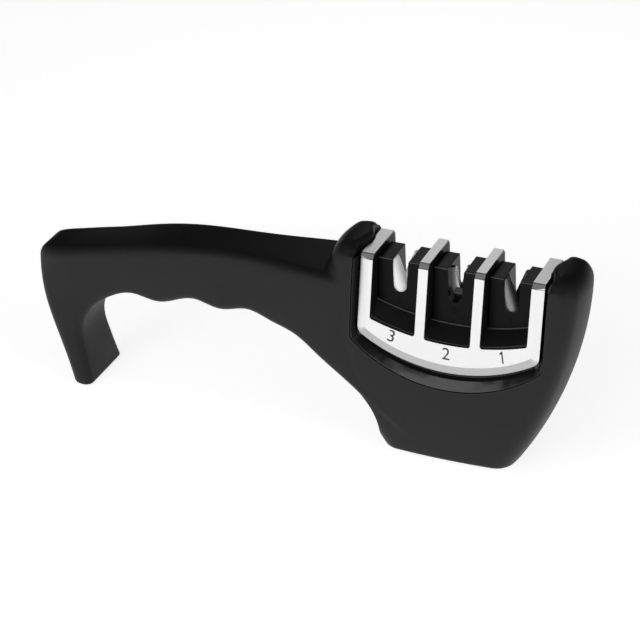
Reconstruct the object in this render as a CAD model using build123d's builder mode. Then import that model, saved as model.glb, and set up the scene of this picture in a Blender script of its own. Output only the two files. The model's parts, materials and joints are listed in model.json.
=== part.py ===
"""Hand-held three-stage pull-through knife sharpener with a lift-out sharpening module.

Millimetres, +Z up.  X runs from the handle to the head, Y across the object.  The origin is
the middle of the object's length and width, on the surface that it stands on.
"""
from build123d import *
import math
import os

# ---------------------------------------------------------------- overall
HANDLE_LENGTH = 167.0           # handle end to the middle of the head
TABLE_GAP = 0.8                 # the mouldings stand this far off the table, on their pads
FIT_GAP = 0.3                   # between the module and the recess that it drops into
SEAT_GAP = 0.2                  # round a piece that is dropped or screwed into its seat
THROUGH = 30.0                  # past the widest part of the object, for outlines cut through it
TUB_TOP = 95.0                  # above the highest part of the object
HOLLOW_TOP = 42.0
WINDOW_CORNER = 1.0

# ---------------------------------------------------------------- head
HEAD_HALF_LENGTH = 47.6         # at its widest, near the top
LENGTH = HANDLE_LENGTH + HEAD_HALF_LENGTH
HEAD_X = LENGTH / 2 - HEAD_HALF_LENGTH
HORN_TOP = 81.0
END_ARC_RADIUS = 142.0          # side view: both ends of the head are arcs
END_ARC_Z = 77.0                # height at which the ends are upright
HEAD_HALF_DEPTH = 18.3          # at the barrel's widest
BARREL_RADIUS = 265.0           # end view: front and back are arcs
BARREL_Z = 38.0
END_BULGE = 3.0                 # plan view: rise of the end arcs
FRONT_BULGE = 1.2               # plan view: rise of the front and back arcs
CORNER_RADIUS = 8.0             # plan view: upright corners
HORN_ROUND = 8.0                # outer top edges of the horns
HORN_INNER_ROUND = 2.4          # inner top edges of the horns
HEAD_BOTTOM_ROUND = 2.4

# ---------------------------------------------------------------- recess for the module
RECESS_HALF_LENGTH = 36.5
RECESS_FLOOR = 32.0             # lowest point of its curved floor
RECESS_RADIUS = 54.6
RECESS_CORNER = 4.0
SEAT_X = 9.5                    # four flat seats on the floor carry the module
SEAT_LENGTH = 5.0
SEAT_Y = 15.0
SEAT_WIDTH = 3.0
SEAT_TOP = 33.6
SEAT_HEIGHT = 2.2
GUIDE_RADIUS = 13.2             # upright guide on the inner wall of each horn, part of a round post
GUIDE_RISE = 2.6
GUIDE_BOTTOM = 50.0

# ---------------------------------------------------------------- handle
GRIP_TOP = 68.4                 # top of the grip where it meets the head
FOOT_HALF_WIDTH = 14.8
LEG_HALF_WIDTH = 11.8
SLAB_LEVELS = (-0.03, 0.32, 0.64, 1.32)     # heights where the width is given, as shares of the grip's
NECK_FLARE = 4.8                # how much wider the neck is than the leg
END_ROUND = 0.0312 * HANDLE_LENGTH          # side view: where the end turns into the top
GRIP_TOP_ROUND = 0.0275 * HANDLE_LENGTH
GRIP_UNDER_ROUND = 3.2
FOOT_ROUND = 1.0
JUNCTION_ROUND = 3.0            # between the neck and the head
WAIST_RADIUS = 17.4             # scoop under the neck, beside the base
WAIST_X = HEAD_X - 42.8
WAIST_Z = 8.0

# ---------------------------------------------------------------- underside
WALL = 2.4
LEDGE = 1.2
PLATE_BOTTOM = 1.4
PLATE_THICKNESS = 2.0
PLATE_TOP = PLATE_BOTTOM + PLATE_THICKNESS
RIB = 1.6
BOSS_X = 12.0
BOSS_RADIUS = 3.6
BOSS_HOLE_RADIUS = 1.45
BASE_SCREW_RADIUS = 1.4
BASE_SCREW_LENGTH = 11.0
BASE_SCREW_HEAD_RADIUS = 2.8
BASE_SCREW_HEAD = 1.2
PAD_HALF_LENGTH = 21.6
PAD_HALF_WIDTH = 11.0
PAD_BAND = 4.0
PAD_SINK = 0.6
PAD_CORNER = 7.0
FOOT_PAD_LENGTH = 5.2
FOOT_PAD_WIDTH = 22.0
FOOT_PAD_CORNER = 2.4
FOOT_PAD_SINK = 1.4
FOOT_X = -LENGTH / 2 + HANDLE_LENGTH * 0.113
PAD_ROUND = 0.5

# ---------------------------------------------------------------- cover
COVER_SHEET = 0.8
COVER_TOP = 78.0
COVER_HALF_LENGTH = 34.35
COVER_TOP_HALF_DEPTH = 10.1
COVER_BEVEL_WIDTH = 1.7
COVER_BEVEL_DROP = 1.8
COVER_FLARE = 0.12              # outward per millimetre of drop
COVER_LOW = 38.4                # lowest point of its curved lower edge
COVER_LOW_RADIUS = 65.0
COVER_CORNER = 4.0
COVER_LIP = 3.1                 # height of the bevel along the lower edge
COVER_LIP_DEPTH = 0.5

# ---------------------------------------------------------------- stages
STAGE_PITCH = 21.0
STAGE_PLACES = (-STAGE_PITCH, 0.0, STAGE_PITCH)
WINDOW_WIDTH = 17.4
WINDOW_LOW = 49.2
WINDOW_LOW_RADIUS = 97.0
LEDGE_LOW = 53.7                # where the sloping floor meets the insert
LEDGE_LOW_RADIUS = 92.6
INSERT_TOP = 75.3
INSERT_BOTTOM = 52.0
INSERT_HALF_DEPTH = 6.8
SLOT_TOP_WIDTH = 6.1
SLOT_LOW_WIDTH = 5.1
SLOT_BOTTOM = 62.4
INSERT_ROUND = 0.6
INSERT_EDGE = 0.4

# ---------------------------------------------------------------- carrier
RIM_LOW = 36.6
RIM_RADIUS = 63.0
RIM_SIDE = 1.4
RIM_TOP = 76.4
RIM_CORNER = 3.0
RIM_LAP = 0.2
CARRIER_HOLLOW_HALF_LENGTH = 32.6
CARRIER_HOLLOW_HALF_DEPTH = 13.2
CARRIER_HOLLOW_TOP = 47.5
HOLLOW_CORNER = 1.5
RETAINER_THICKNESS = 2.0
RETAINER_HALF_LENGTH = 32.0
RETAINER_HALF_WIDTH = 7.3
RETAINER_SCREW_RADIUS = 1.0
RETAINER_SCREW_HEAD_RADIUS = 1.9
RETAINER_SCREW_HEAD = 1.1
RETAINER_SCREW_LENGTH = 8.0
RETAINER_SCREW_PLACES = (-STAGE_PITCH / 2, STAGE_PITCH / 2)

# ---------------------------------------------------------------- abrasive rods and blades
ROD_RADIUS = 3.0
ROD_LEAN = 20.6                 # degrees from upright
ROD_Y = 3.15
ROD_SIDE = 1.1                  # each axis passes this far beside the middle of its stage
ROD_CROSS_Z = 64.1
ROD_BELOW = 11.9                # along the axis, below and above the crossing
ROD_ABOVE = 10.6
ROD_CLEARANCE = 0.1
ROD_CHAMFER = 0.3
ROD_CHANNEL_BELOW = 16.0
BLADE_LEAN = 14.2
BLADE_WIDTH = 3.8
BLADE_LENGTH = 21.3
BLADE_THICKNESS = 1.9
BLADE_Y = 1.1
BLADE_EDGE_X = 1.85             # top corner of the cutting edge
BLADE_EDGE_Z = 73.9
BLADE_CLEARANCE = 0.05
STEP_HALF_WIDTH = 1.9           # sloping step in the slot, before the foot of each blade
STEP_DEPTH = 2.0
STEP_TOP = 66.2
STEP_DROP = 1.6


# ================================================================ shared outlines
def head_half_length(z):
    """Half length of the head at a height, from the arc of its ends."""
    drop = math.sqrt(END_ARC_RADIUS**2 - (z - END_ARC_Z) ** 2)
    return HEAD_HALF_LENGTH - END_ARC_RADIUS + drop


def head_half_depth(z):
    """Half depth of the head at a height, from the barrel arc."""
    return HEAD_HALF_DEPTH - BARREL_RADIUS + math.sqrt(BARREL_RADIUS**2 - (z - BARREL_Z) ** 2)


def head_section(z, inset=0.0):
    """One level of the head: four shallow arcs with rounded corners, drawn in by the inset."""
    length, depth = head_half_length(z) - inset, head_half_depth(z) - inset
    corner_x, corner_y = length - END_BULGE, depth - FRONT_BULGE
    with BuildSketch(Plane((HEAD_X, 0, z))) as section:
        with BuildLine():
            ThreePointArc((-corner_x, -corner_y), (0, -depth), (corner_x, -corner_y))
            ThreePointArc((corner_x, -corner_y), (length, 0), (corner_x, corner_y))
            ThreePointArc((corner_x, corner_y), (0, depth), (-corner_x, corner_y))
            ThreePointArc((-corner_x, corner_y), (-length, 0), (-corner_x, -corner_y))
        make_face()
        fillet(section.vertices(), CORNER_RADIUS - inset)
    return section.sketch


def head_sections(low, high, inset=0.0):
    """Six evenly spaced levels of the head, to be lofted."""
    return [head_section(low + (high - low) * level / 5, inset) for level in range(6)]


def facing_front(y):
    """Upright plane that faces the front, with its origin under the middle of the head."""
    return Plane((HEAD_X, y, 0), x_dir=(1, 0, 0), z_dir=(0, -1, 0))


def arc_height(low, radius, x):
    """Height of an upward-curving arc at a distance from the middle of the head."""
    return low + radius - math.sqrt(radius**2 - x**2)


def tub(y, left, right, low, radius, corner, top=TUB_TOP):
    """Area between two upright sides, above an upward-curving arc, on the plane at one depth."""
    with BuildSketch(facing_front(y)) as area:
        with BuildLine():
            middle = (left + right) / 2
            floor = ThreePointArc(*[(x, arc_height(low, radius, x)) for x in (left, middle, right)])
            Polyline(floor @ 1, (right, top), (left, top), floor @ 0)
        make_face()
        fillet(area.vertices().sort_by(Axis.Y)[:2], corner)
    return area.sketch


def cradle(inset, top=TUB_TOP):
    """Outline of the recess, or of what drops into it with a gap all round."""
    half = RECESS_HALF_LENGTH - inset
    return tub(THROUGH, -half, half, RECESS_FLOOR + inset, RECESS_RADIUS - inset, RECESS_CORNER, top)


def recess_mouth():
    """What is cut away above the recess: its width, with the inner top edges of the horns rounded."""
    half, spread = RECESS_HALF_LENGTH, RECESS_HALF_LENGTH + HORN_INNER_ROUND
    low = HORN_TOP - HORN_INNER_ROUND
    with BuildSketch(facing_front(THROUGH)) as mouth:
        with BuildLine():
            right = RadiusArc((half, low), (spread, HORN_TOP), HORN_INNER_ROUND)
            left = RadiusArc((-spread, HORN_TOP), (-half, low), HORN_INNER_ROUND)
            Polyline(right @ 1, (spread, TUB_TOP), (-spread, TUB_TOP), left @ 0)
            Line(left @ 1, right @ 0)
        make_face()
    return mouth.sketch


def window(y, x, low=WINDOW_LOW, radius=WINDOW_LOW_RADIUS):
    """Outline of the opening over one stage."""
    return tub(y, x - WINDOW_WIDTH / 2, x + WINDOW_WIDTH / 2, low, radius, WINDOW_CORNER)


def pad_band(z, gap=0.0):
    """Oval band on which the head stands, or the groove that holds it with a gap all round."""
    outer, inner = PAD_HALF_WIDTH + gap, PAD_HALF_WIDTH - PAD_BAND - gap
    with BuildSketch(Plane((HEAD_X, 0, z))) as band:
        RectangleRounded(2 * (PAD_HALF_LENGTH + gap), 2 * outer, PAD_CORNER + gap)
        RectangleRounded(2 * (PAD_HALF_LENGTH - PAD_BAND - gap), 2 * inner, PAD_CORNER - PAD_BAND / 2 - gap,
                         mode=Mode.SUBTRACT)
    return band.sketch


def pan_screw(radius, length, head_radius, head_height):
    """Pan-head screw that points up, with the top of its head at z = 0 and a cross recess."""
    with BuildPart() as screw:
        Cylinder(head_radius, head_height, align=(Align.CENTER, Align.CENTER, Align.MIN))
        chamfer(screw.edges().sort_by(Axis.Z)[0], head_height / 3)
        Cylinder(radius, length, align=(Align.CENTER, Align.CENTER, Align.MIN))
        chamfer(screw.edges().sort_by(Axis.Z)[-1], radius / 2)
        with BuildSketch():
            Rectangle(head_radius, head_radius / 4)
            Rectangle(head_radius / 4, head_radius)
        extrude(amount=head_height * 0.6, mode=Mode.SUBTRACT)
    return screw.part


def cover_face_y(z):
    """Half depth of the cover's outer face at a height below its bevel."""
    return COVER_TOP_HALF_DEPTH + COVER_BEVEL_WIDTH + COVER_FLARE * (COVER_TOP - COVER_BEVEL_DROP - z)


def on_cover_face(face):
    """True for the large outer faces of the cover, in front and at the back."""
    middle = face.center()
    return abs(abs(middle.Y) - cover_face_y(middle.Z)) < COVER_SHEET / 4


def cover_section(sheet=0.0):
    """Cross-section of all that lies under the cover's outer face, drawn in by the sheet."""
    low = RECESS_FLOOR - 2 * sheet
    side = [
        (cover_face_y(low), low),
        (cover_face_y(COVER_TOP - COVER_BEVEL_DROP), COVER_TOP - COVER_BEVEL_DROP),
        (COVER_TOP_HALF_DEPTH, COVER_TOP),
    ]
    plane = Plane((HEAD_X - COVER_HALF_LENGTH, 0, 0), x_dir=(0, 1, 0), z_dir=(1, 0, 0))
    with BuildSketch(plane) as section:
        with BuildLine():
            Polyline(*side, *[(-y, z) for y, z in reversed(side)], close=True)
        make_face()
        if sheet:
            offset(amount=-sheet, kind=Kind.INTERSECTION, mode=Mode.REPLACE)
    return section.sketch


def well(x):
    """Space over one stage: upright where the insert stands, with a floor that slopes outward."""
    lip_y = cover_face_y(WINDOW_LOW)
    with BuildPart() as space:
        for side in (-1, 1):
            loft([window(side * INSERT_HALF_DEPTH, x, LEDGE_LOW, LEDGE_LOW_RADIUS), window(side * lip_y, x)])
        extrude(window(INSERT_HALF_DEPTH, x, LEDGE_LOW, LEDGE_LOW_RADIUS), amount=2 * INSERT_HALF_DEPTH)
        with Locations((HEAD_X + x, 0, INSERT_BOTTOM)):
            Box(WINDOW_WIDTH, 2 * (INSERT_HALF_DEPTH + SEAT_GAP), TUB_TOP - INSERT_BOTTOM,
                align=(Align.CENTER, Align.CENTER, Align.MIN))
    return space.part


def insert_block(x):
    """Block that fills one well, with a tapered knife slot across it."""
    with BuildPart() as block:
        with Locations((HEAD_X + x, 0, INSERT_BOTTOM)):
            Box(WINDOW_WIDTH - 2 * SEAT_GAP, 2 * INSERT_HALF_DEPTH, INSERT_TOP - INSERT_BOTTOM,
                align=(Align.CENTER, Align.CENTER, Align.MIN))
        fillet(block.edges().filter_by(Axis.Z), INSERT_ROUND)
        round_z = SLOT_BOTTOM + SLOT_LOW_WIDTH / 2
        with BuildSketch(facing_front(THROUGH)):
            with BuildLine():
                Line((x + SLOT_TOP_WIDTH / 2, TUB_TOP), (x + SLOT_TOP_WIDTH / 2, INSERT_TOP))
                Line((x + SLOT_TOP_WIDTH / 2, INSERT_TOP), (x + SLOT_LOW_WIDTH / 2, round_z))
                ThreePointArc((x + SLOT_LOW_WIDTH / 2, round_z), (x, SLOT_BOTTOM), (x - SLOT_LOW_WIDTH / 2, round_z))
                Line((x - SLOT_LOW_WIDTH / 2, round_z), (x - SLOT_TOP_WIDTH / 2, INSERT_TOP))
                Line((x - SLOT_TOP_WIDTH / 2, INSERT_TOP), (x - SLOT_TOP_WIDTH / 2, TUB_TOP))
                Line((x - SLOT_TOP_WIDTH / 2, TUB_TOP), (x + SLOT_TOP_WIDTH / 2, TUB_TOP))
            make_face()
        extrude(amount=2 * THROUGH, mode=Mode.SUBTRACT)
        fillet(block.faces().filter_by(Axis.Z).group_by(Axis.Z)[-1].edges(), INSERT_EDGE)
    return block.part


def rod_plane(x, side):
    """Plane across a rod where the two rods of a stage cross; side is -1 in front, 1 at the back."""
    lean = math.radians(ROD_LEAN)
    return Plane(
        (HEAD_X + x + side * ROD_SIDE, side * ROD_Y, ROD_CROSS_Z),
        x_dir=(0, 1, 0),
        z_dir=(side * math.sin(lean), 0, math.cos(lean)),
    )


def rod(x, side, gap=0.0, below=ROD_BELOW):
    """Round abrasive rod, or the channel that holds it."""
    with BuildPart() as piece:
        with BuildSketch(rod_plane(x, side).offset(-below)):
            Circle(ROD_RADIUS + gap)
        extrude(amount=below + ROD_ABOVE + gap)
        chamfer(piece.edges(), ROD_CHAMFER)
    return piece.part


def blade(side, gap=0.0, below=0.0):
    """Flat cutting blade, leaning like a rod, or the channel that holds it."""
    with BuildPart() as piece:
        with BuildSketch(facing_front(side * BLADE_Y + BLADE_THICKNESS / 2 + gap / 2)):
            with Locations(Location((side * BLADE_EDGE_X, BLADE_EDGE_Z), -side * BLADE_LEAN)):
                with Locations((side * BLADE_WIDTH / 2, gap)):
                    Rectangle(BLADE_WIDTH + 2 * gap, BLADE_LENGTH + below, align=(Align.CENTER, Align.MAX))
        extrude(amount=BLADE_THICKNESS + gap)
    return piece.part


def blade_step(side):
    """Small step with a sloping top that stands in the slot before the foot of a blade."""
    near, far = BLADE_Y + BLADE_THICKNESS / 2, BLADE_Y + BLADE_THICKNESS / 2 + STEP_DEPTH
    start = HEAD_X - STEP_HALF_WIDTH - side * (SLOT_LOW_WIDTH / 2 - STEP_HALF_WIDTH)
    with BuildPart() as step:
        with BuildSketch(Plane((start, 0, 0), x_dir=(0, 1, 0), z_dir=(1, 0, 0))):
            with BuildLine():
                Polyline((side * near, SLOT_BOTTOM - 1), (side * near, STEP_TOP),
                         (side * far, STEP_TOP - STEP_DROP), (side * far, SLOT_BOTTOM - 1), close=True)
            make_face()
        extrude(amount=2 * STEP_HALF_WIDTH)
    return step.part


def guide_posts(low, top, gap=0.0):
    """Upright round posts whose crowns stand out of the walls of the recess."""
    centre = RECESS_HALF_LENGTH - GUIDE_RISE + GUIDE_RADIUS
    with BuildPart() as posts:
        with Locations((HEAD_X - centre, 0, low), (HEAD_X + centre, 0, low)):
            Cylinder(GUIDE_RADIUS + gap, top - low, align=(Align.CENTER, Align.CENTER, Align.MIN))
    return posts


def rim_inside(lap):
    """Area inside the carrier's rim, or lapping onto it."""
    half = RECESS_HALF_LENGTH - FIT_GAP - RIM_SIDE - lap
    return tub(THROUGH, -half, half, RIM_LOW + lap, RIM_RADIUS, RIM_CORNER)


# ================================================================ body
def slab_section(x, widths):
    """Cross-section of the slab that gives the handle its width, at one station along X."""
    heights = [GRIP_TOP * level for level in SLAB_LEVELS]
    with BuildSketch(Plane((x, 0, 0), x_dir=(0, 1, 0), z_dir=(1, 0, 0))) as section:
        with BuildLine():
            right = Spline(*[(w, z) for w, z in zip(widths, heights)])
            Line(right @ 1, (-widths[-1], heights[-1]))
            left = Spline(*[(-w, z) for w, z in reversed(list(zip(widths, heights)))])
            Line(left @ 1, right @ 0)
        make_face()
    return section.sketch


def handle_point(along, up):
    """Place on the side outline, in percent of the handle's length and of the grip's height."""
    return (-LENGTH / 2 + HANDLE_LENGTH * along / 100, GRIP_TOP * up / 100)


def at_junction(edge):
    """True for the edges where the top and the sides of the neck run into the head."""
    box, head_end = edge.bounding_box(), HEAD_X - HEAD_HALF_LENGTH
    beside_head = head_end - 1 < box.min.X and box.max.X < head_end + HEAD_HALF_LENGTH / 2
    return beside_head and box.min.Z > GRIP_TOP * 0.3 and GRIP_TOP * 0.9 < box.max.Z < GRIP_TOP + SEAT_GAP


with BuildPart() as grip_form:
    with BuildSketch(Plane.XZ.offset(-THROUGH)) as side_view:
        with BuildLine():
            rear = Spline(
                (handle_point(8.7, 0)[0], TABLE_GAP),
                handle_point(3.5, 34.3),
                handle_point(1.4, 49.6),
                handle_point(0.1, 67.5),
                handle_point(0.0, 80.3),
                tangents=((-0.33, 0.94), (0, 1)),
            )
            top = Spline(
                rear @ 1,
                handle_point(5.0, 82.3),
                handle_point(11.1, 85.3),
                handle_point(17.3, 88.6),
                handle_point(26.3, 93.7),
                handle_point(52.3, 100.1),
                handle_point(72.0, 100.2),
                handle_point(93.0, 97.8),
                tangents=((1, 0.28), (1, -0.05)),
            )
            inside = Polyline(top @ 1, handle_point(93.0, 8.2), handle_point(80.4, 31.8))
            wave = Spline(
                inside @ 1,
                handle_point(69.6, 50.8),
                handle_point(64.6, 58.9),
                handle_point(58.3, 63.3),
                handle_point(52.4, 66.8),
                handle_point(45.8, 63.7),
                handle_point(39.4, 66.8),
                handle_point(30.8, 60.8),
                handle_point(24.3, 62.6),
                handle_point(18.0, 57.0),
                handle_point(13.2, 47.3),
                handle_point(10.9, 33.4),
                handle_point(11.9, 18.9),
                (handle_point(13.9, 0)[0], TABLE_GAP),
                tangents=((-0.77, 0.64), (0.3, -1)),
            )
            Line(wave @ 1, rear @ 0)
        make_face()
        fillet(side_view.vertices().sort_by_distance((*handle_point(0, 80.3), 0))[0], END_ROUND)
    extrude(amount=2 * THROUGH)
    stations = (
        (-0.9, (0, 0.4, -4.6, -4.6)),
        (1.8, (0, 0.4, -1.9, -1.9)),
        (5.4, (0, 0.4, -0.5, -0.5)),
        (16.3, (0, 0.4, 0, 0)),
        (40.3, (0, 1.2, 0.8, 0.4)),
        (61.3, (0.4, 2.8, 2.4, 1.6)),
        (78.0, (0.2, NECK_FLARE, NECK_FLARE, 2.8)),
        (93.6, (0, NECK_FLARE + 0.3, NECK_FLARE + 0.5, 1.0)),
    )
    loft(
        [slab_section(handle_point(along, 0)[0], (FOOT_HALF_WIDTH + foot, *[LEG_HALF_WIDTH + w for w in wider]))
         for along, (foot, *wider) in stations],
        mode=Mode.INTERSECT,
    )
    lengthwise = grip_form.edges().filter_by(lambda e: e.bounding_box().size.X > HANDLE_LENGTH / 3)
    fillet(lengthwise.filter_by(lambda e: e.center().Z < GRIP_TOP * 0.73), GRIP_UNDER_ROUND)
    lengthwise = grip_form.edges().filter_by(lambda e: e.bounding_box().size.X > HANDLE_LENGTH / 3)
    fillet(lengthwise.filter_by(lambda e: e.bounding_box().max.Z > GRIP_TOP - SEAT_GAP), GRIP_TOP_ROUND)
    fillet(grip_form.faces().sort_by(Axis.Z)[0].edges(), FOOT_ROUND)

with BuildPart() as head_form:
    loft(head_sections(TABLE_GAP, HORN_TOP))
    fillet(head_form.faces().sort_by(Axis.Z)[-1].edges(), HORN_ROUND)
    fillet(head_form.faces().sort_by(Axis.Z)[0].edges(), HEAD_BOTTOM_ROUND)

with BuildPart() as head_hollow:
    loft(head_sections(TABLE_GAP, HOLLOW_TOP, WALL + LEDGE))
    extrude(cradle(-WALL), amount=2 * THROUGH, mode=Mode.SUBTRACT)
    with Locations(Location((WAIST_X, 0, WAIST_Z), (90, 0, 0))):
        Cylinder(WAIST_RADIUS + WALL, 2 * THROUGH, mode=Mode.SUBTRACT)

with BuildPart() as guides:
    add(guide_posts(GUIDE_BOTTOM, HORN_TOP).part)
    fillet(guides.edges().filter_by(GeomType.CIRCLE).group_by(Axis.Z)[-1], HORN_INNER_ROUND)
    with Locations((HEAD_X, 0, GUIDE_BOTTOM)):
        Box(2 * (RECESS_HALF_LENGTH + HORN_INNER_ROUND), 2 * HEAD_HALF_DEPTH, HORN_TOP - GUIDE_BOTTOM,
            align=(Align.CENTER, Align.CENTER, Align.MIN), mode=Mode.INTERSECT)

with BuildPart() as handle_body:
    add(grip_form.part)
    add(head_form.part)
    # soft blend where the neck runs into the head
    fillet(handle_body.edges().filter_by(at_junction), JUNCTION_ROUND)
    # scoop beside the base
    with Locations(Location((WAIST_X, 0, WAIST_Z), (90, 0, 0))):
        Cylinder(WAIST_RADIUS, 2 * THROUGH, mode=Mode.SUBTRACT)
    add(head_hollow.part, mode=Mode.SUBTRACT)
    extrude(head_section(PLATE_BOTTOM, WALL), amount=PLATE_THICKNESS, mode=Mode.SUBTRACT)
    extrude(head_section(PLATE_BOTTOM, WALL), amount=TABLE_GAP - PLATE_BOTTOM, mode=Mode.SUBTRACT)
    # screw bosses and ribs from the roof of the hollow down to the plate
    with BuildSketch(Plane((HEAD_X, 0, PLATE_TOP))):
        with Locations((-BOSS_X, 0), (BOSS_X, 0)):
            Circle(BOSS_RADIUS)
            Rectangle(RIB, 2 * head_half_depth(PLATE_TOP) - WALL / 2)
    extrude(amount=HOLLOW_TOP - PLATE_TOP)
    with BuildSketch(Plane((HEAD_X, 0, PLATE_TOP))):
        with Locations((-BOSS_X, 0), (BOSS_X, 0)):
            Circle(BOSS_HOLE_RADIUS)
    extrude(amount=BASE_SCREW_LENGTH, mode=Mode.SUBTRACT)
    # recess for the module, four flat seats on its floor and a guide on the wall of each horn
    extrude(cradle(0), amount=2 * THROUGH, mode=Mode.SUBTRACT)
    extrude(recess_mouth(), amount=2 * THROUGH, mode=Mode.SUBTRACT)
    with GridLocations(2 * SEAT_X, 2 * SEAT_Y, 2, 2):
        with Locations((HEAD_X, 0, SEAT_TOP)):
            Box(SEAT_LENGTH, SEAT_WIDTH, SEAT_HEIGHT, align=(Align.CENTER, Align.CENTER, Align.MAX))
    add(guides.part)
    # pocket for the rubber pad under the foot
    with BuildSketch(Plane((FOOT_X, 0, TABLE_GAP))):
        RectangleRounded(FOOT_PAD_LENGTH, FOOT_PAD_WIDTH, FOOT_PAD_CORNER)
    extrude(amount=FOOT_PAD_SINK, mode=Mode.SUBTRACT)

with BuildPart() as base_plate:
    extrude(head_section(PLATE_BOTTOM, WALL + SEAT_GAP), amount=PLATE_THICKNESS)
    with Locations((HEAD_X - BOSS_X, 0, PLATE_BOTTOM), (HEAD_X + BOSS_X, 0, PLATE_BOTTOM)):
        Cylinder(BASE_SCREW_RADIUS + SEAT_GAP, 3 * PLATE_THICKNESS, mode=Mode.SUBTRACT)
        Cylinder(BASE_SCREW_HEAD_RADIUS + SEAT_GAP, BASE_SCREW_HEAD,
                 align=(Align.CENTER, Align.CENTER, Align.MIN), mode=Mode.SUBTRACT)
    extrude(pad_band(PLATE_BOTTOM, SEAT_GAP), amount=PAD_SINK, mode=Mode.SUBTRACT)

with BuildPart() as base_pad:
    extrude(pad_band(0), amount=PLATE_BOTTOM + PAD_SINK)
    fillet(base_pad.faces().sort_by(Axis.Z)[0].edges(), PAD_ROUND)

with BuildPart() as foot_pad:
    with BuildSketch(Plane((FOOT_X, 0, 0))):
        RectangleRounded(FOOT_PAD_LENGTH - 2 * SEAT_GAP, FOOT_PAD_WIDTH - 2 * SEAT_GAP, FOOT_PAD_CORNER - SEAT_GAP)
    extrude(amount=TABLE_GAP + FOOT_PAD_SINK)
    fillet(foot_pad.faces().sort_by(Axis.Z)[0].edges(), PAD_ROUND)

with BuildPart() as base_screws:
    with Locations((HEAD_X - BOSS_X, 0, PLATE_BOTTOM), (HEAD_X + BOSS_X, 0, PLATE_BOTTOM)):
        add(pan_screw(BASE_SCREW_RADIUS, BASE_SCREW_LENGTH, BASE_SCREW_HEAD_RADIUS, BASE_SCREW_HEAD))


# ================================================================ module
with BuildPart() as cover_inside:
    extrude(cover_section(COVER_SHEET), amount=2 * COVER_HALF_LENGTH)

guide_grooves = guide_posts(RECESS_FLOOR, TUB_TOP, FIT_GAP)

with BuildPart() as steel_cover:
    extrude(cover_section(), amount=2 * COVER_HALF_LENGTH)
    add(cover_inside.part, mode=Mode.SUBTRACT)
    outline = tub(THROUGH, -COVER_HALF_LENGTH, COVER_HALF_LENGTH, COVER_LOW, COVER_LOW_RADIUS, COVER_CORNER)
    extrude(outline, amount=2 * THROUGH, mode=Mode.INTERSECT)
    # bevel along the lower edge of the front and the back
    for face in steel_cover.faces().filter_by(on_cover_face):
        chamfer(face.edges().filter_by(GeomType.ELLIPSE), COVER_LIP, COVER_LIP_DEPTH, reference=face)
    for x in STAGE_PLACES:
        extrude(window(THROUGH, x), amount=2 * THROUGH, mode=Mode.SUBTRACT)
    add(guide_grooves.part, mode=Mode.SUBTRACT)

with BuildPart() as carrier_core:
    extrude(cover_section(COVER_SHEET), amount=2 * COVER_HALF_LENGTH)
    extrude(rim_inside(-RIM_LAP), amount=2 * THROUGH, mode=Mode.INTERSECT)

with BuildPart() as module_carrier:
    # rim that follows the recess, flush with the front and back of the head, round the core
    loft(head_sections(TABLE_GAP, RIM_TOP, FIT_GAP))
    extrude(cradle(FIT_GAP, RIM_TOP), amount=2 * THROUGH, mode=Mode.INTERSECT)
    extrude(rim_inside(0), amount=2 * THROUGH, mode=Mode.SUBTRACT)
    add(carrier_core.part)
    for x in STAGE_PLACES:
        add(well(x), mode=Mode.SUBTRACT)
    # hollow underside and the seat of the retainer plate
    with BuildSketch(Plane((HEAD_X, 0, RECESS_FLOOR))):
        RectangleRounded(2 * CARRIER_HOLLOW_HALF_LENGTH, 2 * CARRIER_HOLLOW_HALF_DEPTH, HOLLOW_CORNER)
    extrude(amount=CARRIER_HOLLOW_TOP - RECESS_FLOOR, mode=Mode.SUBTRACT)
    with BuildSketch(Plane((HEAD_X, 0, RECESS_FLOOR))):
        RectangleRounded(2 * (RETAINER_HALF_LENGTH + SEAT_GAP), 2 * (RETAINER_HALF_WIDTH + SEAT_GAP), HOLLOW_CORNER)
    extrude(amount=INSERT_BOTTOM - RECESS_FLOOR, mode=Mode.SUBTRACT)
    with Locations(*[(HEAD_X + x, 0, INSERT_BOTTOM) for x in RETAINER_SCREW_PLACES]):
        Cylinder(RETAINER_SCREW_RADIUS + 0.05, RETAINER_SCREW_LENGTH, align=(Align.CENTER, Align.CENTER, Align.MIN),
                 mode=Mode.SUBTRACT)
    # notches over the seats, and grooves that run on the guides
    with Locations((HEAD_X, 0, 0)):
        with GridLocations(2 * SEAT_X, 2 * SEAT_Y, 2, 2):
            Box(SEAT_LENGTH + 2 * FIT_GAP, SEAT_WIDTH + 2 * FIT_GAP, SEAT_TOP, align=(Align.CENTER, Align.CENTER, Align.MIN),
                mode=Mode.SUBTRACT)
    add(guide_grooves.part, mode=Mode.SUBTRACT)

with BuildPart() as ceramic_insert:
    add(insert_block(-STAGE_PITCH))
    for side in (-1, 1):
        add(rod(-STAGE_PITCH, side, ROD_CLEARANCE, ROD_CHANNEL_BELOW), mode=Mode.SUBTRACT)

with BuildPart() as diamond_insert:
    add(insert_block(STAGE_PITCH))
    for side in (-1, 1):
        add(rod(STAGE_PITCH, side, ROD_CLEARANCE, ROD_CHANNEL_BELOW), mode=Mode.SUBTRACT)

with BuildPart() as carbide_insert:
    add(insert_block(0))
    for side in (-1, 1):
        add(blade_step(side))
    for side in (-1, 1):
        add(blade(side, BLADE_CLEARANCE, BLADE_LENGTH), mode=Mode.SUBTRACT)

with BuildPart() as ceramic_rod_front:
    add(rod(-STAGE_PITCH, -1))

with BuildPart() as ceramic_rod_back:
    add(rod(-STAGE_PITCH, 1))

with BuildPart() as diamond_rod_front:
    add(rod(STAGE_PITCH, -1))

with BuildPart() as diamond_rod_back:
    add(rod(STAGE_PITCH, 1))

with BuildPart() as carbide_blade_front:
    add(blade(-1))

with BuildPart() as carbide_blade_back:
    add(blade(1))

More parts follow.
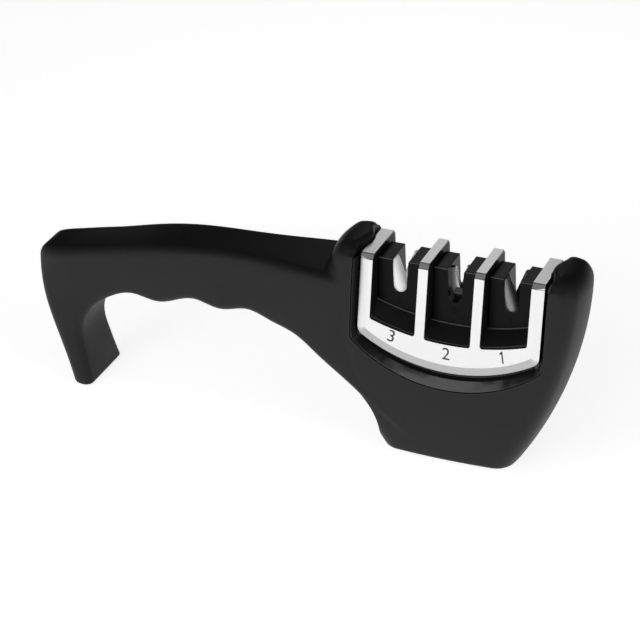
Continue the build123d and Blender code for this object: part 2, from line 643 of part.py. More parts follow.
with BuildPart() as retainer_plate:
    with BuildSketch(Plane((HEAD_X, 0, INSERT_BOTTOM - RETAINER_THICKNESS))):
        RectangleRounded(2 * RETAINER_HALF_LENGTH, 2 * RETAINER_HALF_WIDTH, HOLLOW_CORNER)
        with Locations(*[(x, 0) for x in RETAINER_SCREW_PLACES]):
            Circle(RETAINER_SCREW_RADIUS + SEAT_GAP, mode=Mode.SUBTRACT)
    extrude(amount=RETAINER_THICKNESS)

with BuildPart() as retainer_screws:
    head_z = INSERT_BOTTOM - RETAINER_THICKNESS - RETAINER_SCREW_HEAD
    with Locations(*[(HEAD_X + x, 0, head_z) for x in RETAINER_SCREW_PLACES]):
        add(pan_screw(RETAINER_SCREW_RADIUS, RETAINER_SCREW_LENGTH, RETAINER_SCREW_HEAD_RADIUS, RETAINER_SCREW_HEAD))


# ================================================================ export
PIECES = {
    "handle_body": handle_body,
    "base_plate": base_plate,
    "base_screws": base_screws,
    "base_pad": base_pad,
    "foot_pad": foot_pad,
    "module_carrier": module_carrier,
    "steel_cover": steel_cover,
    "ceramic_insert": ceramic_insert,
    "carbide_insert": carbide_insert,
    "diamond_insert": diamond_insert,
    "ceramic_rod_front": ceramic_rod_front,
    "ceramic_rod_back": ceramic_rod_back,
    "carbide_blade_front": carbide_blade_front,
    "carbide_blade_back": carbide_blade_back,
    "diamond_rod_front": diamond_rod_front,
    "diamond_rod_back": diamond_rod_back,
    "retainer_plate": retainer_plate,
    "retainer_screws": retainer_screws,
}
os.makedirs("parts", exist_ok=True)
for name, piece in PIECES.items():
    piece.part.label = name
    export_step(piece.part, f"parts/{name}.step")
    box = piece.part.bounding_box()
    print(name, len(piece.solids()), piece.part.is_valid, round(piece.part.volume), box)
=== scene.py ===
"""Studio picture of a hand-held three-stage pull-through knife sharpener.

Metres, +Z up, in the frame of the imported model.  The model's nodes get their finishes here.
Two nodes are replaced by edited copies: the carrier, whose rim slopes down to the steel cover
with a dark gap between them, and the body, whose horns run smoothly over their tops.  The sills
of the wells and the numerals are made here.
"""
import json
import math

import bmesh
import bpy
from mathutils import Matrix, Vector


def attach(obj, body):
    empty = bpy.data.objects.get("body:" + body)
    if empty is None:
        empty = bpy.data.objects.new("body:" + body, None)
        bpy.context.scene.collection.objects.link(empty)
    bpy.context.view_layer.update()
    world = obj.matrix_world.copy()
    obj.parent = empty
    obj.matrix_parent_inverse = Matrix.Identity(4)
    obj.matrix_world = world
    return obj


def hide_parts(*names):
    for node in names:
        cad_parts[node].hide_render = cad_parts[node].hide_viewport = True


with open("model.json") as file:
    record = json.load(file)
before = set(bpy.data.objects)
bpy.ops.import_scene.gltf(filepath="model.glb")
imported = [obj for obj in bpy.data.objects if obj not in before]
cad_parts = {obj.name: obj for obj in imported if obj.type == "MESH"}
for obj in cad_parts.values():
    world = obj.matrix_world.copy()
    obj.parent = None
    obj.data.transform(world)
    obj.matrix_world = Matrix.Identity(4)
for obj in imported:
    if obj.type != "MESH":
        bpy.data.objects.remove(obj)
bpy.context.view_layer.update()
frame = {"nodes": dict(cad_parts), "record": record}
nodes = frame["nodes"]
MM = 0.001


# ---------------------------------------------------------------- measures of the part
HEAD_X = 59.7 * MM              # middle of the head
STAGE_PITCH = 21.0 * MM
STAGES = (("3", -1, "ceramic_insert"), ("2", 0, "carbide_insert"), ("1", 1, "diamond_insert"))
SIDES = (("front", -1), ("back", 1))
SHEET = 0.8 * MM                # thickness of the steel cover
COVER_FLARE = 0.12              # slope by which the cover's faces lean inward towards the top
COVER_BEVEL_Y = 11.8 * MM       # lower edge of the bevel at the top of the cover
COVER_BEVEL_Z = 76.2 * MM
COVER_TOP_Z = 78.0 * MM
WINDOW_WIDTH = 17.4 * MM
LEDGE_LOW = 53.7 * MM           # arc where each sloping floor meets its insert
LEDGE_RADIUS = 92.6 * MM
LEDGE_Y = 6.95 * MM
RIM_INNER = (34.8 * MM, 36.6 * MM, 63.0 * MM, 3.0 * MM)     # half length, low point, arc, corner
RIM_OUTER = (36.2 * MM, 32.3 * MM, 54.3 * MM, 4.0 * MM)


def cover_face(z):
    """Distance of the cover's faces from the middle plane at a height."""
    return COVER_BEVEL_Y + COVER_FLARE * (COVER_BEVEL_Z - z)


def centre_of(node):
    """Middle of a node's box in the shared frame."""
    corners = [nodes[node].matrix_world @ Vector(corner) for corner in nodes[node].bound_box]
    return sum(corners, Vector()) / len(corners)


def add_object(name, data):
    """New object in the scene."""
    piece = bpy.data.objects.new(name, data)
    bpy.context.scene.collection.objects.link(piece)
    return piece


# ---------------------------------------------------------------- camera
LENS = 142.54                   # fitted to the photograph, with the two angles and the place
TURN = math.radians(21.7)       # round to the right
RISE = math.radians(28.5)
CAMERA_PLACE = (0.3104, -0.7673, 0.4895)
CLIP = (0.05, 30.0)


def make_camera():
    """Long lens at the photograph's angle."""
    camera = add_object("camera", bpy.data.cameras.new("camera"))
    camera.data.lens = LENS
    camera.data.clip_start, camera.data.clip_end = CLIP
    level = math.cos(RISE)
    back = Vector((math.sin(TURN) * level, -math.cos(TURN) * level, math.sin(RISE)))
    camera.location = CAMERA_PLACE
    camera.rotation_mode = "QUATERNION"
    camera.rotation_quaternion = (-back).to_track_quat("-Z", "Y")
    bpy.context.scene.camera = camera


# ---------------------------------------------------------------- shader nodes
def new_material(name, colour, roughness, metallic=0.0):
    """Material with its plain values set, and its shader."""
    material = bpy.data.materials.new(name)
    material.use_nodes = True
    shader = material.node_tree.nodes["Principled BSDF"]
    shader.inputs["Base Color"].default_value = (*colour, 1)
    shader.inputs["Roughness"].default_value = roughness
    shader.inputs["Metallic"].default_value = metallic
    return material, shader


def glow(shader, colour, strength):
    """Light that a surface gives off itself."""
    shader.inputs["Emission Color"].default_value = (*colour, 1)
    shader.inputs["Emission Strength"].default_value = strength


def add_node(material, kind, **values):
    """New node in the material with some of its inputs set."""
    node = material.node_tree.nodes.new(kind)
    for key, value in values.items():
        node.inputs[key].default_value = value
    return node


def link(material, output, socket):
    """Link between two nodes of the material."""
    material.node_tree.links.new(output, socket)


def object_position(material, stretch=(1, 1, 1)):
    """Position on the object, scaled along each axis, for textures that run with the part."""
    place = add_node(material, "ShaderNodeTexCoord")
    mapping = add_node(material, "ShaderNodeMapping", Scale=stretch)
    link(material, place.outputs["Object"], mapping.inputs["Vector"])
    return mapping.outputs["Vector"]


def split(material, vector):
    """Coordinates of a vector, by axis."""
    node = add_node(material, "ShaderNodeSeparateXYZ")
    link(material, vector, node.inputs["Vector"])
    return node.outputs


def normal_of(material, kind="Normal"):
    """Coordinates of the surface's normal, by axis."""
    return split(material, add_node(material, "ShaderNodeNewGeometry").outputs[kind])


def noise(material, vector, scale, detail=3.0, roughness=0.5):
    """Noise texture at a scale given in cycles per metre."""
    node = add_node(material, "ShaderNodeTexNoise",
                    Scale=scale, Detail=detail, Roughness=roughness)
    link(material, vector, node.inputs["Vector"])
    return node.outputs["Fac"]


def remap(material, value, low, high):
    """Value from 0..1 to low..high."""
    node = add_node(material, "ShaderNodeMapRange", **{"To Min": low, "To Max": high})
    link(material, value, node.inputs["Value"])
    return node.outputs["Result"]


def step_at(material, value, low, high):
    """0 up to the lower limit of a value, 1 from the higher one."""
    node = add_node(material, "ShaderNodeMapRange", **{"From Min": low, "From Max": high})
    link(material, value, node.inputs["Value"])
    return node.outputs["Result"]


def calculate(material, operation, first, second=None):
    """Result of a maths operation on a value and a second value or number."""
    node = add_node(material, "ShaderNodeMath")
    node.operation = operation
    link(material, first, node.inputs[0])
    if isinstance(second, float):
        node.inputs[1].default_value = second
    elif second is not None:
        link(material, second, node.inputs[1])
    return node.outputs["Value"]


def mix(material, factor, first, second):
    """Colour between two, each of them a fixed colour or the output of a node."""
    node = add_node(material, "ShaderNodeMix")
    node.data_type = "RGBA"
    link(material, factor, node.inputs["Factor"])
    for name, colour in (("A", first), ("B", second)):
        if isinstance(colour, tuple):
            node.inputs[name].default_value = (*colour, 1)
        else:
            link(material, colour, node.inputs[name])
    return node.outputs["Result"]


def grey_ramp(tree, value, stops):
    """Grey that follows a value from 0 to 1 through a few stops."""
    ramp = tree.nodes.new("ShaderNodeValToRGB")
    elements = ramp.color_ramp.elements
    for at, _ in stops[1:-1]:
        elements.new(at)
    for element, (at, grey) in zip(elements, stops):
        element.position = at
        element.color = (grey, grey, grey, 1)
    tree.links.new(value, ramp.inputs["Fac"])
    return ramp.outputs["Color"]


def bump(material, shader, height, depth, edge=0.0):
    """Relief of a depth on the shader's normal, over edges that look softened by a radius."""
    node = add_node(material, "ShaderNodeBump", Distance=depth)
    link(material, height, node.inputs["Height"])
    if edge:
        softened = add_node(material, "ShaderNodeBevel", Radius=edge)
        link(material, softened.outputs["Normal"], node.inputs["Normal"])
    link(material, node.outputs["Normal"], shader.inputs["Normal"])


# ---------------------------------------------------------------- mouldings
BODY_TONES = ((0.011, 0.011, 0.0115), (0.015, 0.015, 0.0155))
CARRIER_TONES = ((0.010, 0.010, 0.0105), (0.014, 0.014, 0.0145))
INSERT_TONES = ((0.003, 0.003, 0.0031), (0.005, 0.005, 0.0052))
PAINTED_EDGE_HIGHLIGHT = (0.05, 0.05, 0.051)    # painted highlight on the mouldings' edges and on the sills
# painted highlight on the inserts' top edges
PAINTED_TOP_HIGHLIGHT = (0.12, 0.12, 0.121)
SHEEN = 0.22                    # specular level, which is 0.5 on a usual plastic
SATIN_SHEEN = 0.5
INSERT_SHEEN = 0.1
SIDE_SHEEN = 0.03               # of the carrier's faces that look sideways, lowered as painted shade
MATT = 0.5                      # roughness, and how far the gloss varies about it
SATIN = 0.3
UNEVEN = (-0.05, 0.06)
CLOUD_SCALE = 45.0              # cycles per metre of flow clouds, gloss and spark texture
GLOSS_SCALE = 900.0
SPARK_SCALE = 2600.0
SPARK_DEPTH = 0.012 * MM
EDGE = 0.25 * MM                # radius to which the edges look broken
INSERT_EDGE = 0.45 * MM
SAME_NORMAL = (0.86, 0.99)      # likeness of an edge's normal to its face's, from full painted highlight to none
SIDE_TURN = (0.25, 0.6)         # sideways part of the normal, from full sheen to side sheen
TOP_HIGHLIGHT_BY_LEAN = ((0.0, 0), (0.12, 0), (0.3, 1), (0.8, 1), (0.95, 0), (1.0, 0))   # painted highlight on the inserts' top edges, by upward lean


def edge_highlight_mask(material, radius):
    """Mask of the painted edge highlight: 1 on the edges of a moulding and 0 elsewhere."""
    softened = add_node(material, "ShaderNodeBevel", Radius=radius)
    surface = add_node(material, "ShaderNodeNewGeometry")
    likeness = add_node(material, "ShaderNodeVectorMath")
    likeness.operation = "DOT_PRODUCT"
    link(material, softened.outputs["Normal"], likeness.inputs[0])
    link(material, surface.outputs["Normal"], likeness.inputs[1])
    return remap(material, step_at(material, likeness.outputs["Value"], *SAME_NORMAL), 1.0, 0.0)


def spark_finish(material, shader, roughness, sheen, edge=EDGE):
    """Spark texture and slightly uneven gloss of a mould, with softened edges."""
    position = object_position(material)
    shader.inputs["Specular IOR Level"].default_value = sheen
    gloss = noise(material, position, GLOSS_SCALE, detail=4.0)
    smoother, rougher = (roughness + change for change in UNEVEN)
    link(material, remap(material, gloss, smoother, rougher), shader.inputs["Roughness"])
    bump(material, shader, noise(material, position, SPARK_SCALE, detail=2.0), SPARK_DEPTH, edge)


def moulded_plastic(name, tones, roughness, sheen=SHEEN, edge=EDGE, highlight_top_edges=False,
                    shade_sides=False):
    """Black moulding with soft flow clouds, a painted highlight on its edges, the finish of its
    mould, and painted shade on its sideways faces if asked.
    """
    material, shader = new_material(name, tones[0], roughness)
    spark_finish(material, shader, roughness, sheen, edge)
    clouds = noise(material, object_position(material), CLOUD_SCALE, detail=2.0)
    colour = mix(material, clouds, *tones)
    # painted highlight: a paler colour on the top edges by their upward lean, or on all edges that
    # the bevel finds
    if highlight_top_edges:
        highlight_mask = grey_ramp(material.node_tree, normal_of(material)["Z"], TOP_HIGHLIGHT_BY_LEAN)
        colour = mix(material, highlight_mask, colour, PAINTED_TOP_HIGHLIGHT)
    else:
        colour = mix(material, edge_highlight_mask(material, 2 * edge), colour, PAINTED_EDGE_HIGHLIGHT)
    link(material, colour, shader.inputs["Base Color"])
    # painted shade: faces that look sideways get little sheen, so they look darker
    if shade_sides:
        sideways = calculate(material, "ABSOLUTE", normal_of(material)["X"])
        side_shade = remap(material, step_at(material, sideways, *SIDE_TURN), sheen, SIDE_SHEEN)
        link(material, side_shade, shader.inputs["Specular IOR Level"])
    return material


# ---------------------------------------------------------------- steel of the cover
STEEL = (0.83, 0.83, 0.835)
STEEL_TONES = ((0.80, 0.80, 0.805), (0.86, 0.86, 0.865))
STEEL_ROUGHNESS = (0.24, 0.36)
BRUSHING = (0.04, 1, 1)         # the brushed lines run along the cover
BRUSH_SCALE = 5200.0
BRUSH_DEPTH = 0.002 * MM
# painted shade on the cover's lip, which leans slightly down
LIP_SHADE = (0.5, 0.5, 0.505)
LIP_TO_FACE = (0.0, 0.1)        # upward part of the normal, of the lip and of the cover's face
# painted shade on the cover's cut edges
CUT_SHADE = (0.02, 0.02, 0.02)
CUT_TURN = 0.8                  # part of a cut edge's normal along X or Z, at least
FOLD_TURN = 0.9                 # upward part of the normal beside a fold, at most
FOLD_LINE = 0.13 * MM           # half width of the fine line of painted shade along each fold
FOLD_SHADE = 0.8


def painted_shade_lines(material, normal):
    """Mask of painted shade: 1 on the cover's cut edges, a little less along its folds, and 0
    elsewhere.
    """
    height = split(material, object_position(material))["Z"]
    # the cut edges at a window's sides face along X, and those at its lower end face up
    sideways = calculate(material, "ABSOLUTE", normal["X"])
    dark = calculate(material, "GREATER_THAN", sideways, CUT_TURN)
    upward = calculate(material, "GREATER_THAN", normal["Z"], CUT_TURN)
    in_window = calculate(material, "LESS_THAN", height, COVER_BEVEL_Z)
    lower_end = calculate(material, "MULTIPLY", upward, in_window)
    dark = calculate(material, "MAXIMUM", dark, lower_end)
    below_top = calculate(material, "LESS_THAN", normal["Z"], FOLD_TURN)
    for fold in (COVER_BEVEL_Z, COVER_TOP_Z - FOLD_LINE):
        distance = calculate(material, "ABSOLUTE", calculate(material, "SUBTRACT", height, fold))
        line = calculate(material, "LESS_THAN", distance, FOLD_LINE)
        line = calculate(material, "MULTIPLY", line, below_top)
        line = calculate(material, "MULTIPLY", line, FOLD_SHADE)
        dark = calculate(material, "MAXIMUM", dark, line)
    return dark


def brushed_steel(name):
    """Steel sheet brushed along the cover, with painted shade on its lip, its cut edges and its
    folds.
    """
    material, shader = new_material(name, STEEL, roughness=0.3, metallic=1.0)
    lines = noise(material, object_position(material, BRUSHING), BRUSH_SCALE, roughness=0.6)
    normal = normal_of(material, "True Normal")
    brushed = mix(material, lines, *STEEL_TONES)
    # painted shade: a darker grey on the lip, found by the lean of its normal
    colour = mix(material, step_at(material, normal["Z"], *LIP_TO_FACE), LIP_SHADE, brushed)
    # painted shade on the cut edges and along the folds
    colour = mix(material, painted_shade_lines(material, normal), colour, CUT_SHADE)
    link(material, colour, shader.inputs["Base Color"])
    link(material, remap(material, lines, *STEEL_ROUGHNESS), shader.inputs["Roughness"])
    bump(material, shader, lines, BRUSH_DEPTH)
    return material


# ---------------------------------------------------------------- other materials
# each texture's scale is in cycles per metre, and two tones or roughnesses are its ends
SCREW = (0.62, 0.62, 0.63)
SCREW_ROUGHNESS = (0.18, 0.34)
SCREW_SCALE = 3000.0
SCREW_DEPTH = 0.003 * MM
CERAMIC = (0.95, 0.95, 0.94)
CERAMIC_TONES = ((0.92, 0.92, 0.905), (0.98, 0.98, 0.97))
CERAMIC_PAINTED_GLOW = ((1, 1, 0.98), 0.17)     # painted glow: the rods give off light of their own to look brighter
CERAMIC_SCALE = 700.0
CERAMIC_GRIND_SCALE = 6000.0
CERAMIC_GRIND_DEPTH = 0.006 * MM
CARBIDE = (0.62, 0.62, 0.63)
CARBIDE_TONES = ((0.55, 0.55, 0.56), (0.7, 0.7, 0.71))
CARBIDE_ROUGHNESS = (0.2, 0.36)
GRINDING = (1, 1, 0.06)         # the grinding lines run up the blade
GRIND_SCALE = 6000.0
GRIND_DEPTH = 0.003 * MM
GRIT = (0.5, 0.5, 0.51)
GRIT_TONES = ((0.42, 0.42, 0.43), (0.16, 0.16, 0.165))
GRIT_ROUGHNESS = (0.3, 0.6)
GRIT_SCALE = 7000.0
GRIT_DEPTH = 0.02 * MM
RUBBER = (0.018, 0.018, 0.018)
RUBBER_TONES = ((0.014, 0.014, 0.014), (0.028, 0.028, 0.028))
DUST_SCALE = 260.0
PEBBLE_SCALE = 2200.0
PEBBLE_DEPTH = 0.02 * MM
INK = (0.02, 0.02, 0.02)
INK_TONES = ((0.015, 0.015, 0.015), (0.035, 0.035, 0.035))
INK_SCALE = 1500.0


def plated_screw(name):
    """Bright plated screw with faint turning marks."""
    material, shader = new_material(name, SCREW, roughness=0.25, metallic=1.0)
    marks = noise(material, object_position(material), SCREW_SCALE)
    link(material, remap(material, marks, *SCREW_ROUGHNESS), shader.inputs["Roughness"])
    bump(material, shader, marks, SCREW_DEPTH)
    return material


def ceramic(name):
    """Fired white rod: faint warm mottling under a dry, finely ground surface, and a painted glow.
    """
    material, shader = new_material(name, CERAMIC, roughness=0.35)
    glow(shader, *CERAMIC_PAINTED_GLOW)
    position = object_position(material)
    mottle = noise(material, position, CERAMIC_SCALE, detail=4.0)
    link(material, mix(material, mottle, *CERAMIC_TONES), shader.inputs["Base Color"])
    bump(material, shader, noise(material, position, CERAMIC_GRIND_SCALE), CERAMIC_GRIND_DEPTH)
    return material


def ground_carbide(name):
    """Hard-metal blade with fine grinding lines along its length."""
    material, shader = new_material(name, CARBIDE, roughness=0.28, metallic=1.0)
    lines = noise(material, object_position(material, GRINDING), GRIND_SCALE)
    link(material, remap(material, lines, *CARBIDE_ROUGHNESS), shader.inputs["Roughness"])
    link(material, mix(material, lines, *CARBIDE_TONES), shader.inputs["Base Color"])
    bump(material, shader, lines, GRIND_DEPTH)
    return material


def diamond_grit(name):
    """Grey plated rod set with fine bright grit."""
    material, shader = new_material(name, GRIT, roughness=0.45, metallic=0.85)
    cells = add_node(material, "ShaderNodeTexVoronoi", Scale=GRIT_SCALE)
    link(material, object_position(material), cells.inputs["Vector"])
    grains = cells.outputs["Distance"]
    link(material, mix(material, grains, *GRIT_TONES), shader.inputs["Base Color"])
    link(material, remap(material, grains, *GRIT_ROUGHNESS), shader.inputs["Roughness"])
    bump(material, shader, grains, GRIT_DEPTH)
    return material


def rubber(name):
    """Matt black rubber with a fine pebbled face."""
    material, shader = new_material(name, RUBBER, roughness=0.8)
    position = object_position(material)
    dust = noise(material, position, DUST_SCALE, detail=4.0)
    link(material, mix(material, dust, *RUBBER_TONES), shader.inputs["Base Color"])
    bump(material, shader, noise(material, position, PEBBLE_SCALE), PEBBLE_DEPTH)
    return material


def paint(name):
    """Printed ink, slightly uneven in its coverage."""
    material, shader = new_material(name, INK, roughness=0.5)
    cover = noise(material, object_position(material), INK_SCALE)
    link(material, mix(material, cover, *INK_TONES), shader.inputs["Base Color"])
    return material


def dress_nodes():
    """Gives each node of the model the finish of its material slot."""
    finishes = {
        "black_abs": moulded_plastic("black_abs", BODY_TONES, MATT),
        "carrier_abs": moulded_plastic("carrier_abs", CARRIER_TONES, SATIN, SATIN_SHEEN,
                                       shade_sides=True),
        "insert_black": moulded_plastic("insert_black", INSERT_TONES, SATIN, INSERT_SHEEN,
                                        INSERT_EDGE, highlight_top_edges=True),
        "cover_steel": brushed_steel("cover_steel"),
        "screw_steel": plated_screw("screw_steel"),
        "ceramic": ceramic("ceramic"),
        "carbide": ground_carbide("carbide"),
        "diamond": diamond_grit("diamond"),
        "pad_rubber": rubber("pad_rubber"),
    }
    for subpart in frame["record"]["subparts"]:
        node = nodes[subpart["node"]]
        node.data.materials.clear()
        node.data.materials.append(finishes[subpart["material_slot"]])


# ---------------------------------------------------------------- studio
FLOOR_SIZE = 12.0
FLOOR_COLOUR = (0.9, 0.9, 0.9)
FLOOR_GLOW = ((1, 1, 1), 0.8)
WALLS_BY_HEIGHT = ((0.0, 0.8), (0.35, 0.4), (0.7, 0.15), (1.0, 0.08))
WALLS_BY_DEPTH = ((0.0, 1.0), (0.5, 0.8), (0.68, 0.05), (1.0, 0.03))
OBJECT_MIDDLE = (0.03, 0, 0.04)
MODULE_TOP = (0.06, 0, 0.077)
LIGHTS = (                      # name, place, size, watts, aim
    ("front", (-0.2, -1.5, 0.55), (1.2, 0.7), 5.0, OBJECT_MIDDLE),
    # smaller and higher: what softened edges catch between their front and their top
    ("edges", (-0.42, -0.95, 0.72), (0.3, 0.24), 0.7, OBJECT_MIDDLE),
    ("right", (1.4, -0.5, 0.5), (0.7, 0.7), 1.6, OBJECT_MIDDLE),
    # low and behind the module: what the tops of the steel strips mirror to the camera
    ("strip_glow", (-0.06, 0.37, 0.29), (0.14, 0.2), 0.07, MODULE_TOP),
)


def make_floor():
    """Plain white floor under the object, which glows as if lit from all round."""
    half = FLOOR_SIZE / 2
    mesh = bpy.data.meshes.new("floor")
    corners = [(-half, -half, 0), (half, -half, 0), (half, half, 0), (-half, half, 0)]
    mesh.from_pydata(corners, [], [(0, 1, 2, 3)])
    floor = add_object("floor", mesh)
    material, shader = new_material("floor", FLOOR_COLOUR, roughness=0.9)
    glow(shader, *FLOOR_GLOW)
    mesh.materials.append(material)


def make_world():
    """Pale walls in front that darken upwards, and a dark room behind for the dark tops."""
    world = bpy.data.worlds.new("studio")
    bpy.context.scene.world = world
    world.use_nodes = True
    tree = world.node_tree
    place = tree.nodes.new("ShaderNodeTexCoord")
    direction = tree.nodes.new("ShaderNodeSeparateXYZ")
    tree.links.new(place.outputs["Generated"], direction.inputs["Vector"])
    behind = tree.nodes.new("ShaderNodeMapRange")
    behind.inputs["From Min"].default_value = -1.0
    tree.links.new(direction.outputs["Y"], behind.inputs["Value"])
    product = tree.nodes.new("ShaderNodeMix")
    product.data_type = "RGBA"
    product.blend_type = "MULTIPLY"
    product.inputs["Factor"].default_value = 1.0
    height = grey_ramp(tree, direction.outputs["Z"], WALLS_BY_HEIGHT)
    depth = grey_ramp(tree, behind.outputs["Result"], WALLS_BY_DEPTH)
    tree.links.new(height, product.inputs["A"])
    tree.links.new(depth, product.inputs["B"])
    tree.links.new(product.outputs["Result"], tree.nodes["Background"].inputs["Color"])


def make_lights():
    """Rectangular soft lights."""
    for name, place, size, watts, aim in LIGHTS:
        data = bpy.data.lights.new(name, "AREA")
        data.shape = "RECTANGLE"
        data.size, data.size_y = size
        data.energy = watts
        light = add_object(name, data)
        light.location = place
        light.rotation_mode = "QUATERNION"
        light.rotation_quaternion = (Vector(aim) - Vector(place)).to_track_quat("-Z", "Y")


# ---------------------------------------------------------------- edited copies of nodes
WELD = 0.001 * MM               # vertices as near as this are one
SMOOTH_ANGLE = math.radians(28)
RIM_STEP = 0.25 * MM            # rim's inner edge above the core, just under the steel sheet
GAP_WIDTH = 0.6 * MM            # dark gap that runs round the sheet, and its depth
GAP_DEPTH = 1.8 * MM
NUDGE = 0.01 * MM
HORN_LOW = 77.2 * MM            # the horns are softened above this height
HORN_FROM = 32.0 * MM           # and between these distances from the middle of the head
HORN_TO = 42.0 * MM
HORN_FACET = 0.7 * MM           # longer edges there are cut in two, this many times
HORN_CUTS = 3
HORN_PASSES = 40
HORN_FACTOR = 0.5


def outside_tub(x, z, half_length, low, radius, corner):
    """How far a point lies outside two upright sides that an arc joins with round corners."""
    side = abs(x) - half_length + corner
    under = math.hypot(x, z - low - radius) - radius + corner
    return min(max(side, under), 0) + math.hypot(max(side, 0), max(under, 0)) - corner


def away_from_tub(x, z, tub):
    """Direction in which a point leaves the tub."""
    here = outside_tub(x, z, *tub)
    along = (outside_tub(x + NUDGE, z, *tub) - here) / NUDGE
    up = (outside_tub(x, z + NUDGE, *tub) - here) / NUDGE
    return along, up


def copy_of(node):
    """Editable copy of a node's mesh, with its doubled vertices joined."""
    mesh = nodes[node].data.copy()
    if "custom_normal" in mesh.attributes:
        mesh.attributes.remove(mesh.attributes["custom_normal"])
    form = bmesh.new()
    form.from_mesh(mesh)
    bmesh.ops.remove_doubles(form, verts=form.verts, dist=WELD)
    return mesh, form


def stand_for(node, name, mesh, form, body):
    """Puts the edited copy in the place of its node."""
    form.to_mesh(mesh)
    form.free()
    mesh.validate()
    mesh.shade_smooth()
    mesh.set_sharp_from_angle(angle=SMOOTH_ANGLE)
    piece = add_object(name, mesh)
    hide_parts(node)
    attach(piece, body)


def slope_rim():
    """Carrier with its rim sloped from the flush outer edge down to the gap round the cover."""
    mesh, form = copy_of("module_carrier")
    for vertex in form.verts:
        x, y, z = vertex.co
        core = cover_face(z) - SHEET
        inner = outside_tub(x - HEAD_X, z, *RIM_INNER)
        outer = -outside_tub(x - HEAD_X, z, *RIM_OUTER)
        if abs(y) > core + RIM_STEP and inner > -RIM_STEP:
            share = min(max(inner / (inner + outer), 0), 1) if inner > RIM_STEP else 0
            edge = core + RIM_STEP
            vertex.co.y = math.copysign(edge + (abs(y) - edge) * share, y)
            if inner < RIM_STEP:
                along, up = away_from_tub(x - HEAD_X, z, RIM_INNER)
                vertex.co.x += GAP_WIDTH * along
                vertex.co.z += GAP_WIDTH * up
        elif abs(y) > core - RIM_STEP and abs(inner) < RIM_STEP:
            vertex.co.y = math.copysign(core - GAP_DEPTH, y)
    stand_for("module_carrier", "carrier_frame", mesh, form, "module")


def on_horn(vertex):
    """Whether a vertex lies on the top of a horn."""
    return vertex.co.z > HORN_LOW and HORN_FROM < abs(vertex.co.x - HEAD_X) < HORN_TO


def soften_horns():
    """Body whose horns run smoothly over their tops into the guides."""
    mesh, form = copy_of("handle_body")
    for _ in range(HORN_CUTS):
        long_edges = [edge for edge in form.edges
                      if edge.calc_length() > HORN_FACET and any(map(on_horn, edge.verts))]
        bmesh.ops.subdivide_edges(form, edges=long_edges, cuts=1)
        many_sided = [face for face in form.faces if len(face.verts) > 3]
        bmesh.ops.triangulate(form, faces=many_sided)
    tops = [vertex for vertex in form.verts if on_horn(vertex)]
    for _ in range(HORN_PASSES):
        bmesh.ops.smooth_vert(form, verts=tops, factor=HORN_FACTOR,
                              use_axis_x=True, use_axis_y=True, use_axis_z=True)
    stand_for("handle_body", "softened_body", mesh, form, "body")


# ---------------------------------------------------------------- sills of the wells
SILL_RADIUS = 0.28 * MM
SILL_POINTS = 9


def make_sills():
    """Fine rounded sill along the upper end of each sloping floor, painted pale as a highlight."""
    # painted highlight: the sills take the pale colour of the edge highlight
    material, shader = new_material("sill_abs", PAINTED_EDGE_HIGHLIGHT, SATIN)
    spark_finish(material, shader, SATIN, SATIN_SHEEN)
    for text, step, _ in STAGES:
        for side, facing in SIDES:
            curve = bpy.data.curves.new(f"sill_{text}_{side}", "CURVE")
            curve.dimensions = "3D"
            curve.bevel_depth = SILL_RADIUS
            curve.use_fill_caps = True
            line = curve.splines.new("POLY")
            line.points.add(SILL_POINTS - 1)
            for index, point in enumerate(line.points):
                share = index / (SILL_POINTS - 1) - 0.5
                x = step * STAGE_PITCH + share * WINDOW_WIDTH
                z = LEDGE_LOW + LEDGE_RADIUS - math.sqrt(LEDGE_RADIUS**2 - x**2)
                point.co = (HEAD_X + x, facing * LEDGE_Y, z, 1)
            sill = add_object(curve.name, curve)
            curve.materials.append(material)
            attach(sill, "module")


# ---------------------------------------------------------------- numerals
PRINT_HEIGHT = 4.6 * MM         # printed numerals: the middle one's place, and how the outer
PRINT_Z = 45.6 * MM             # ones stand higher and turn with the cover's arc
PRINT_RISE = 2.9 * MM
PRINT_ROLL = math.radians(-11)
INK_THICKNESS = 0.03 * MM
INK_LIFT = 0.02 * MM
DIGIT_HEIGHT = 2.6 * MM         # moulded numerals on the inserts
DIGIT_Z = 59.0 * MM
DIGIT_RELIEF = 0.24 * MM
FIGURE_SHARE = 0.7              # height of a figure in its font's size
FLAGGED_ONE = (                 # outline of a 1 with its flag, one unit high
    (-0.09, 0.0), (0.09, 0.0), (0.09, 1.0), (-0.04, 1.0), (-0.3, 0.86), (-0.3, 0.68), (-0.09, 0.8)
)
ONE_WIDTH = 0.62


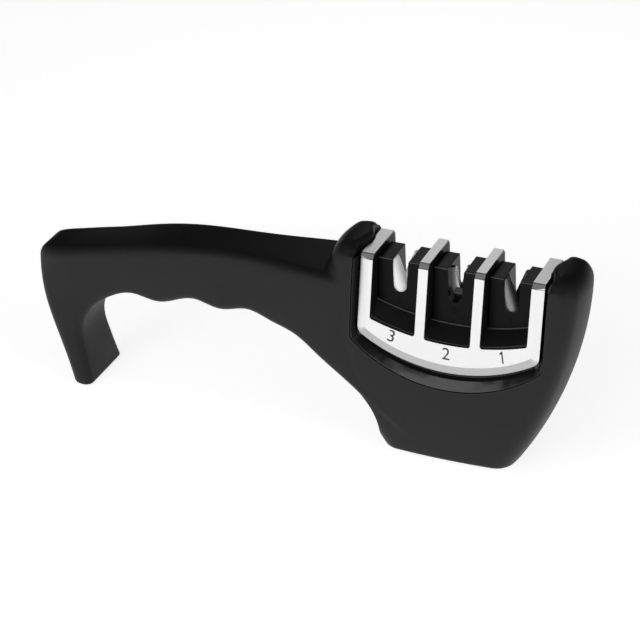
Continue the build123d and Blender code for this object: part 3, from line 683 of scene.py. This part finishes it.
def flat_text(name, text, height):
    """Outline of a figure about its middle; the 1 is drawn with its flag."""
    if text != "1":
        curve = bpy.data.curves.new(name, "FONT")
        curve.body = text
        curve.size = height / FIGURE_SHARE
        curve.align_x = "CENTER"
        curve.align_y = "CENTER"
        return curve
    curve = bpy.data.curves.new(name, "CURVE")
    curve.dimensions = "2D"
    curve.fill_mode = "BOTH"
    line = curve.splines.new("POLY")
    line.points.add(len(FLAGGED_ONE) - 1)
    for point, (x, y) in zip(line.points, FLAGGED_ONE):
        point.co = (ONE_WIDTH * x * height, (y - 0.5) * height, 0, 1)
    line.use_cyclic_u = True
    return curve


def numeral(name, text, height, thickness, place, facing, material, lean=0.0, roll=0.0):
    """One numeral on an upright face: facing is -1 in front and 1 at the back."""
    curve = flat_text(name, text, height)
    curve.extrude = thickness / 2
    lettering = add_object(name, curve)
    bpy.context.view_layer.update()
    shape = lettering.evaluated_get(bpy.context.evaluated_depsgraph_get())
    mesh = bpy.data.meshes.new_from_object(shape)
    bpy.data.objects.remove(lettering)
    mesh.materials.clear()
    mesh.materials.append(material)
    turn = Matrix.Rotation(math.pi if facing > 0 else 0.0, 4, "Z")
    tip = Matrix.Rotation(math.pi / 2 - lean, 4, "X")
    piece = add_object(name, mesh)
    piece.matrix_world = Matrix.Translation(place) @ turn @ tip @ Matrix.Rotation(roll, 4, "Z")
    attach(piece, "module")


def make_numerals():
    """Printed numerals under the cover's windows and small moulded ones under the slots."""
    ink = paint("ink")
    moulding = nodes["ceramic_insert"].data.materials[0]
    middle = centre_of("steel_cover").x
    for text, step, insert in STAGES:
        for side, facing in SIDES:
            x = middle + step * STAGE_PITCH
            z = PRINT_Z + PRINT_RISE * abs(step)
            numeral(f"print_{text}_{side}", text, PRINT_HEIGHT, INK_THICKNESS,
                    (x, facing * (cover_face(z) + INK_LIFT), z), facing, ink,
                    lean=math.atan(COVER_FLARE), roll=facing * step * PRINT_ROLL)
            block_y = facing * nodes[insert].dimensions.y / 2
            numeral(f"digit_{text}_{side}", text, DIGIT_HEIGHT, DIGIT_RELIEF,
                    (x, block_y, DIGIT_Z), facing, moulding)


bpy.context.scene.view_settings.view_transform = "Standard"
make_camera()
make_floor()
make_world()
make_lights()
dress_nodes()
slope_rim()
soften_horns()
make_sills()
make_numerals()
